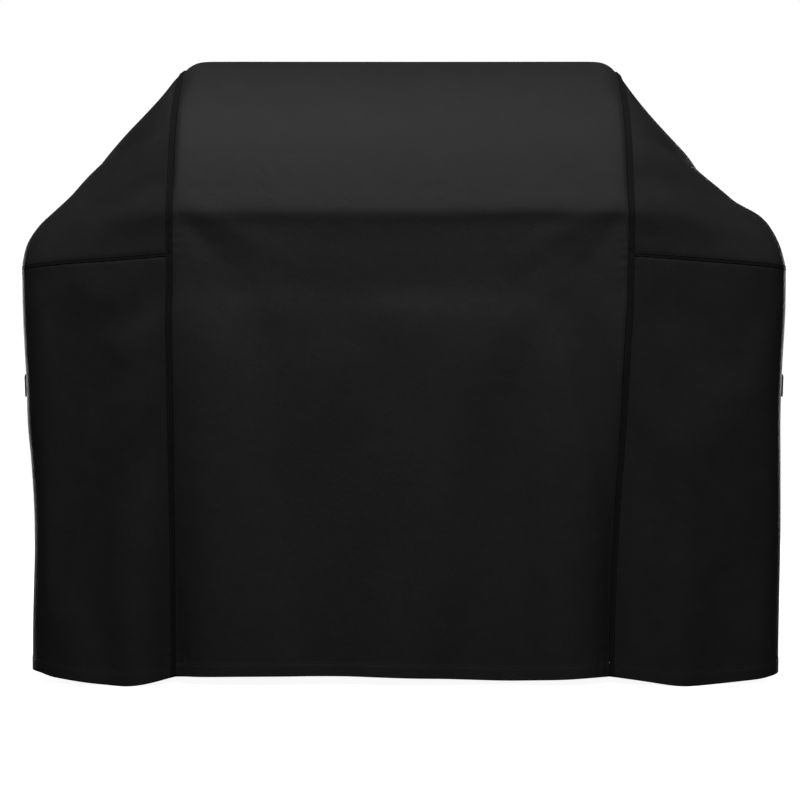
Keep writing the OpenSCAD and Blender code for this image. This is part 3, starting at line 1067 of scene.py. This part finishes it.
def snap(side, points):
    """The nearest points of an end's outer face, and its outward normals there."""
    at, n = np.zeros_like(points), np.zeros_like(points)
    for i, p in enumerate(points):
        at[i], n[i] = outer[side].find_nearest(Vector(p))[:2]
    return at, n * side


def smoothed_unit(v, k):
    return unit(running_mean(v, k))


def beside(side, line, away, d):
    """The end's surface at a distance d from a line on it, and its smoothed normals."""
    at, n = snap(side, line + away * d)
    return at, smoothed_unit(n, 3)


def stitched(name, body, slot, runs, **sizes):
    return add_piece(stitches_mesh(name, runs, **sizes), body, (), [thread_m])


def seam_tape(name, side, line, q, section, stitch_rows):
    """A binding laid on the end's cloth beside a line, towards the points q, and its two rows of stitches.
    section is the tape's closed outline, [across, height], and stitch_rows are places on it."""
    ahead = unit(np.gradient(line, axis=0))
    away = q - line
    away = smoothed_unit(unit(away - ahead * (away * ahead).sum(-1, keepdims=True)), 5)
    rings = []
    for d, h in section:
        at, n = beside(side, line, away, d)
        rings.append(at + n * h)
    uv = np.stack(np.meshgrid(lengths(np.array(section)), lengths(line)), axis=-1)
    add_piece(tape_mesh(name + "_tape", np.stack(rings, axis=1), uv), "cover",
              [name + "_binding"], [tape_m])
    runs = []
    for d, h in stitch_rows:
        at, n = beside(side, line, away, d)
        runs.append((at + n * h, n))
    stitched(name + "_stitches", "cover", "binding", runs)


LONG_SECTION = [(-0.0012, -0.0007), (-0.0009, 0.0002), (0.0003, 0.0011), (0.0020, 0.0010), (0.0042, 0.0013),
                (0.0062, 0.0012), (0.0080, 0.0010), (0.0092, 0.0010), (0.0100, 0.0005), (0.0103, -0.0007)]
SHOULDER_SECTION = [(-0.0041, -0.0007), (-0.0040, 0.0004), (-0.0034, 0.0010), (-0.0020, 0.0010), (0.0, 0.0014),
                    (0.0020, 0.0010), (0.0034, 0.0010), (0.0040, 0.0004), (0.0041, -0.0007)]
TAPE_STEP = 0.0035                          # distance between a seam tape's rings
SEAM_GAP = 0.0100                           # a shoulder seam's tape stops this far from the long seams


def inner_part(points, gap, count=None):
    """A line resampled without its two ends."""
    total = lengths(points)[-1]
    return along(points, np.linspace(gap, total - gap, count or int(total / TAPE_STEP)))


for side in SIDES:
    name = NAME[side]
    line = inner_part(border(new_ends[side]), 0.001)
    line = np.concatenate([line[:1], running_mean(line, 1)[1:-1], line[-1:]])
    q, _ = snap(side, line + np.array([side * 0.011, 0, -0.002]))
    seam_tape(f"{name}_long_seam", side, line, q, LONG_SECTION, ((0.0020, 0.0011), (0.0082, 0.0011)))
    line = inner_part(new_ends[side][seam_row], SEAM_GAP)
    q = inner_part(new_ends[side][seam_row + 3], SEAM_GAP, len(line))
    seam_tape(f"{name}_shoulder_seam", side, line, q, SHOULDER_SECTION, ((-0.0026, 0.0011), (0.0026, 0.0011)))

# ---------------- hems

HEM_TAPE = (0.0020, 0.0270)
HEM_ROWS = 12                               # rows of the fine grids that hold the hem


def hem_tape(name, grid, base, back=False):
    """A facing tape just inside the hem, and the line of stitches that shows outside."""
    rows = lengths(base[:, 0])
    if back:
        rows, grid = rows[-1] - rows[::-1], grid[::-1]
    rows, grid = rows[:HEM_ROWS], grid[:HEM_ROWS]
    n = normals(grid) * (-1 if back else 1)

    def read(table, at):
        return np.stack([[np.interp(at, rows, column) for column in place] for place in table.transpose(1, 2, 0)]
                        ).transpose(2, 0, 1)

    at = np.linspace(*HEM_TAPE, 7)
    strip = read(grid, at)
    inner = strip - unit(read(n, at)) * (CLOTH_T + 0.0004)
    uv = np.stack(np.meshgrid(lengths(strip[3]), at), axis=-1)
    if back:
        inner, uv = inner[::-1], uv[::-1]
    add_piece(shell_mesh(name + "_tape_strip", inner, 0.0009, uv), "cover",
              [name + "_tape"], [tape_m, tape_m])
    line, n = read(grid, [HEM_STITCH])[0, 3:-3], unit(read(n, [HEM_STITCH]))[0, 3:-3]
    stitched(name + "_stitches", "cover", "binding", [(line + n * 0.0001, n)])


hem_tape("front_hem", mid, centre)
hem_tape("back_hem", mid, centre, back=True)
for side in SIDES:
    hem_tape(f"{NAME[side]}_hem", left_to_right(side, new_ends[side]), left_to_right(side, ends[side]))

# ---------------- fastening straps

anchor_low, anchor_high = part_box("right_strap_anchor")
root_low, root_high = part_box("right_strap_root")
end_low, end_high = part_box("right_strap_end")
hook_low, hook_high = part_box("right_hook_tape")
loop_low, loop_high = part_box("right_loop_tape")
patch_low, patch_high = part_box("right_strap_backing")
STRAP_Z = (root_low.z + root_high.z) / 2
STRAP_W = root_high.z - root_low.z
STRAP_T = 0.0016
STRAP_STITCH = {"pitch": 0.0034, "length": 0.0028}
GRIP_T = 0.0008                           # thickness of the hook tape and of the loop tape
STRAP_LIFT = 0.0024                       # height of a fastened strap's inner face over the cloth
FOLD_Y = (anchor_high.y + root_low.y) / 2
PEEL_Y = (root_high.y + end_low.y) / 2


def wall_at(side, y, z):
    """Points and normals of the end wall at given y and z."""
    y, z = np.broadcast_arrays(np.asarray(y, float), np.asarray(z, float))
    p = np.stack([np.full(y.shape, side * (HALF_W + 0.004)), y, z], -1).reshape(-1, 3)
    at, n = snap(side, p)
    return at.reshape(*y.shape, 3), unit(n).reshape(*y.shape, 3)


def ribbon(name, side, path, half_w):
    """A flat strip of webbing along path, a list of [y, height over the cloth], half_w wide at each point."""
    path = np.array(path, float)
    half_w = np.broadcast_to(half_w, len(path))
    t = unit(np.gradient(path, axis=0))
    out = np.stack([-t[:, 1], t[:, 0]], axis=1)            # across the thickness, in [y, height]
    k = np.array([-1, -0.94, -0.5, 0, 0.5, 0.94, 1])
    top = np.array([0.62, 1, 1, 1, 1, 1, 0.62]) * STRAP_T / 2
    ring_w = np.concatenate([k, k[::-1]])
    ring_h = np.concatenate([top, -top[::-1]])
    yy = path[:, None, 0] + out[:, None, 0] * ring_h
    hh = path[:, None, 1] + out[:, None, 1] * ring_h
    zz = STRAP_Z + ring_w * half_w[:, None]
    line, _ = wall_at(side, path[:, 0], np.full(len(path), STRAP_Z))
    order = np.argsort(line[:, 1])
    x = np.interp(yy, line[order, 1], line[order, 0]) + side * hh
    lean = (HEM_X - HALF_W) / SHELF_Z
    x = x - side * lean * (zz - STRAP_Z)
    uv = np.stack([ring_w * half_w[:, None], np.broadcast_to(lengths(path)[:, None], yy.shape)], -1)
    return tape_mesh(name, np.stack([x, yy, zz], axis=-1), uv)


def wall_piece(name, side, low, high, counts, height, thickness, body, node, mat):
    """A thin sheet on the end wall between two corners, or behind it where height is negative."""
    y, z = np.meshgrid(np.linspace(low.y, high.y, counts[0]), np.linspace(low.z, high.z, counts[1]))
    at, n = wall_at(side, y, z)
    grid, uv = (left_to_right(side, g) for g in (at + n * (height + thickness), np.stack([z, y], -1)))
    add_piece(shell_mesh(name, grid, thickness, uv), body, [node], [mat, mat])


def wall_run(side, corners, height, step=0.002):
    """A stitched line on the end wall through [y, z] corners, height over the cloth."""
    corners = np.array(corners, float)
    total = lengths(corners)[-1]
    yz = along(corners, np.linspace(0, total, max(3, int(total / step))))
    at, n = wall_at(side, yz[:, 0], yz[:, 1])
    return at + n * height, n


def box_of(y0, y1, z0, z1):
    return [[y0, z0], [y1, z0], [y1, z1], [y0, z1], [y0, z0]]


def box_within(low, high, in_y, in_z):
    return box_of(low.y + in_y, high.y - in_y, low.z + in_z, high.z - in_z)


def build_straps(side):
    name = NAME[side]
    under = 0.0002 + STRAP_T / 2
    over = STRAP_LIFT + STRAP_T / 2
    y0 = anchor_low.y
    bend = (over - under) / 2
    turn = np.linspace(math.pi / 2, math.pi * 1.5, 9)[1:-1]
    fold = [[y0 + bend + STRAP_T / 2 + bend * math.cos(a), under + bend - bend * math.sin(a)] for a in turn]
    path = ([[y, under] for y in np.arange(FOLD_Y - 0.004, y0 + bend + STRAP_T / 2, -0.004)] + fold
            + [[y, over] for y in np.arange(y0 + bend + STRAP_T / 2 + 0.001, FOLD_Y - 0.003, 0.004)]
            + [[y, over] for y in np.linspace(FOLD_Y - 0.003, FOLD_Y + 0.003, 13)]
            + [[y, over] for y in np.linspace(FOLD_Y + 0.006, PEEL_Y - 0.0015, 44)])
    strap = add_piece(ribbon(f"{name}_strap_webbing", side, path, STRAP_W / 2), None,
                      [f"{name}_strap_anchor", f"{name}_strap_root"], [webbing_m])
    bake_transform(strap)
    tip = end_high.y
    r = 0.009
    ys = np.concatenate([np.linspace(PEEL_Y - 0.0015, PEEL_Y + 0.0025, 7), np.linspace(PEEL_Y + 0.006, tip - r, 38),
                         tip - r + r * np.sin(np.linspace(0, math.pi / 2, 10)[1:])])
    half = STRAP_W / 2 - r + np.sqrt(np.maximum(r ** 2 - np.maximum(ys - (tip - r), 0) ** 2, 0))
    strap_tip = add_piece(ribbon(f"{name}_strap_tip_webbing", side, [[y, over] for y in ys], half),
                          None, [f"{name}_strap_end"], [webbing_m])
    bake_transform(strap_tip)
    # Hook tape on the strap's inner face, loop tape on the skirt, and the patch inside it.
    wall_piece(f"{name}_hook_tape_strip", side, hook_low, hook_high, (40, 12), STRAP_LIFT - GRIP_T, GRIP_T,
               f"{name}_strap_tip", f"{name}_hook_tape", hook_m)
    wall_piece(f"{name}_loop_tape_strip", side, loop_low, loop_high, (50, 14), 0.0001, GRIP_T,
               "cover", f"{name}_loop_tape", loop_m)
    wall_piece(f"{name}_strap_patch", side, patch_low, patch_high, (20, 20), -CLOTH_T - 0.0014, 0.0012,
               "cover", f"{name}_strap_backing", end_cloth_painted_lighter_m)
    # Stitching.
    top = over + STRAP_T / 2 + 0.0001
    a0, a1 = y0 + 0.004, FOLD_Y - 0.005
    b0, b1 = STRAP_Z - STRAP_W / 2 + 0.004, STRAP_Z + STRAP_W / 2 - 0.004
    runs = [wall_run(side, corners, top) for corners in
            (box_of(a0, a1, b0, b1), [[a0, b0], [a1, b1]], [[a0, b1], [a1, b0]])]
    runs.append(wall_run(side, box_within(patch_low, patch_high, 0.003, 0.004), 0.0001))
    runs.append(wall_run(side, box_within(loop_low, loop_high, 0.0015, 0.0018), 0.0010))
    stitched(f"{name}_strap_anchor_stitches", "cover", "webbing", runs, **STRAP_STITCH)
    runs = [wall_run(side, box_within(hook_low, hook_high, 0.002, 0.002), top)]
    stitched(f"{name}_strap_tip_stitches", f"{name}_strap_tip", "webbing", runs, **STRAP_STITCH)


for side in SIDES:
    build_straps(side)

# ---------------- stage

def area(name, location, target, size, power, spread):
    light = bpy.data.lights.new(name, "AREA")
    light.shape = "RECTANGLE"
    light.size, light.size_y = size
    light.energy, light.spread = power, math.radians(spread)
    o = linked(name, light)
    o.location = location
    o.rotation_euler = (Vector(target) - Vector(location)).to_track_quat("-Z", "Y").to_euler()


def dial(node, **values):
    for name, value in values.items():
        node.inputs[name.replace("_", " ")].default_value = value


def stage_scene():
    """A pale floor under a pale sky. The camera sees the sky brighter than it lights the cover."""
    white = (1, 1, 1, 1)
    bpy.ops.mesh.primitive_plane_add(size=160, location=(0, 0, 0))
    floor = bpy.context.object
    floor.name = "floor"
    m = bpy.data.materials.new("floor")
    m.use_nodes = True
    dial(m.node_tree.nodes["Principled BSDF"], Base_Color=(0.85, 0.85, 0.85, 1), Roughness=1.0,
         Specular_IOR_Level=0.0, Emission_Color=white, Emission_Strength=0.93)
    floor.data.materials.append(m)
    floor.visible_diffuse = floor.visible_glossy = False
    scene.world = bpy.data.worlds.new("studio")
    scene.world.use_nodes = True
    nodes, links = scene.world.node_tree.nodes, scene.world.node_tree.links
    lit, seen = nodes["Background"], nodes.new("ShaderNodeBackground")
    dial(lit, Color=white, Strength=0.090)
    dial(seen, Color=white, Strength=1.05)
    path, mix = nodes.new("ShaderNodeLightPath"), nodes.new("ShaderNodeMixShader")
    for i, output in enumerate((path.outputs["Is Camera Ray"], lit.outputs[0], seen.outputs[0])):
        links.new(output, mix.inputs[i])
    links.new(mix.outputs[0], nodes["World Output"].inputs["Surface"])
    area("key", (-0.05, -1.95, 3.45), (0, -0.3, 0.75), (1.3, 1.0), 58, 150)
    area("back_fill", (0.4, 3.6, 1.2), (0, 0.3, 0.5), (2.4, 1.2), 26, 110)
    for side in SIDES:
        area(f"{NAME[side]}_fill", (side * 2.6, 3.9, 0.7), (side * 0.6, 0.1, 0.5), (1.0, 1.0), 17, 80)


CAMERA_DISTANCE = 3.617
CAMERA_HEIGHT = 0.480
FOCAL_PX = 1976.0
camera_data = bpy.data.cameras.new("camera")
camera_data.sensor_width = 36
camera_data.lens = FOCAL_PX * 36 / 800
camera_data.shift_x = -4 / 800
camera = linked("camera", camera_data)
camera.location = (0, -CAMERA_DISTANCE, CAMERA_HEIGHT)
camera.rotation_euler = (math.pi / 2, 0, 0)
scene.camera = camera
stage_scene()
scene.view_settings.view_transform = "Standard"
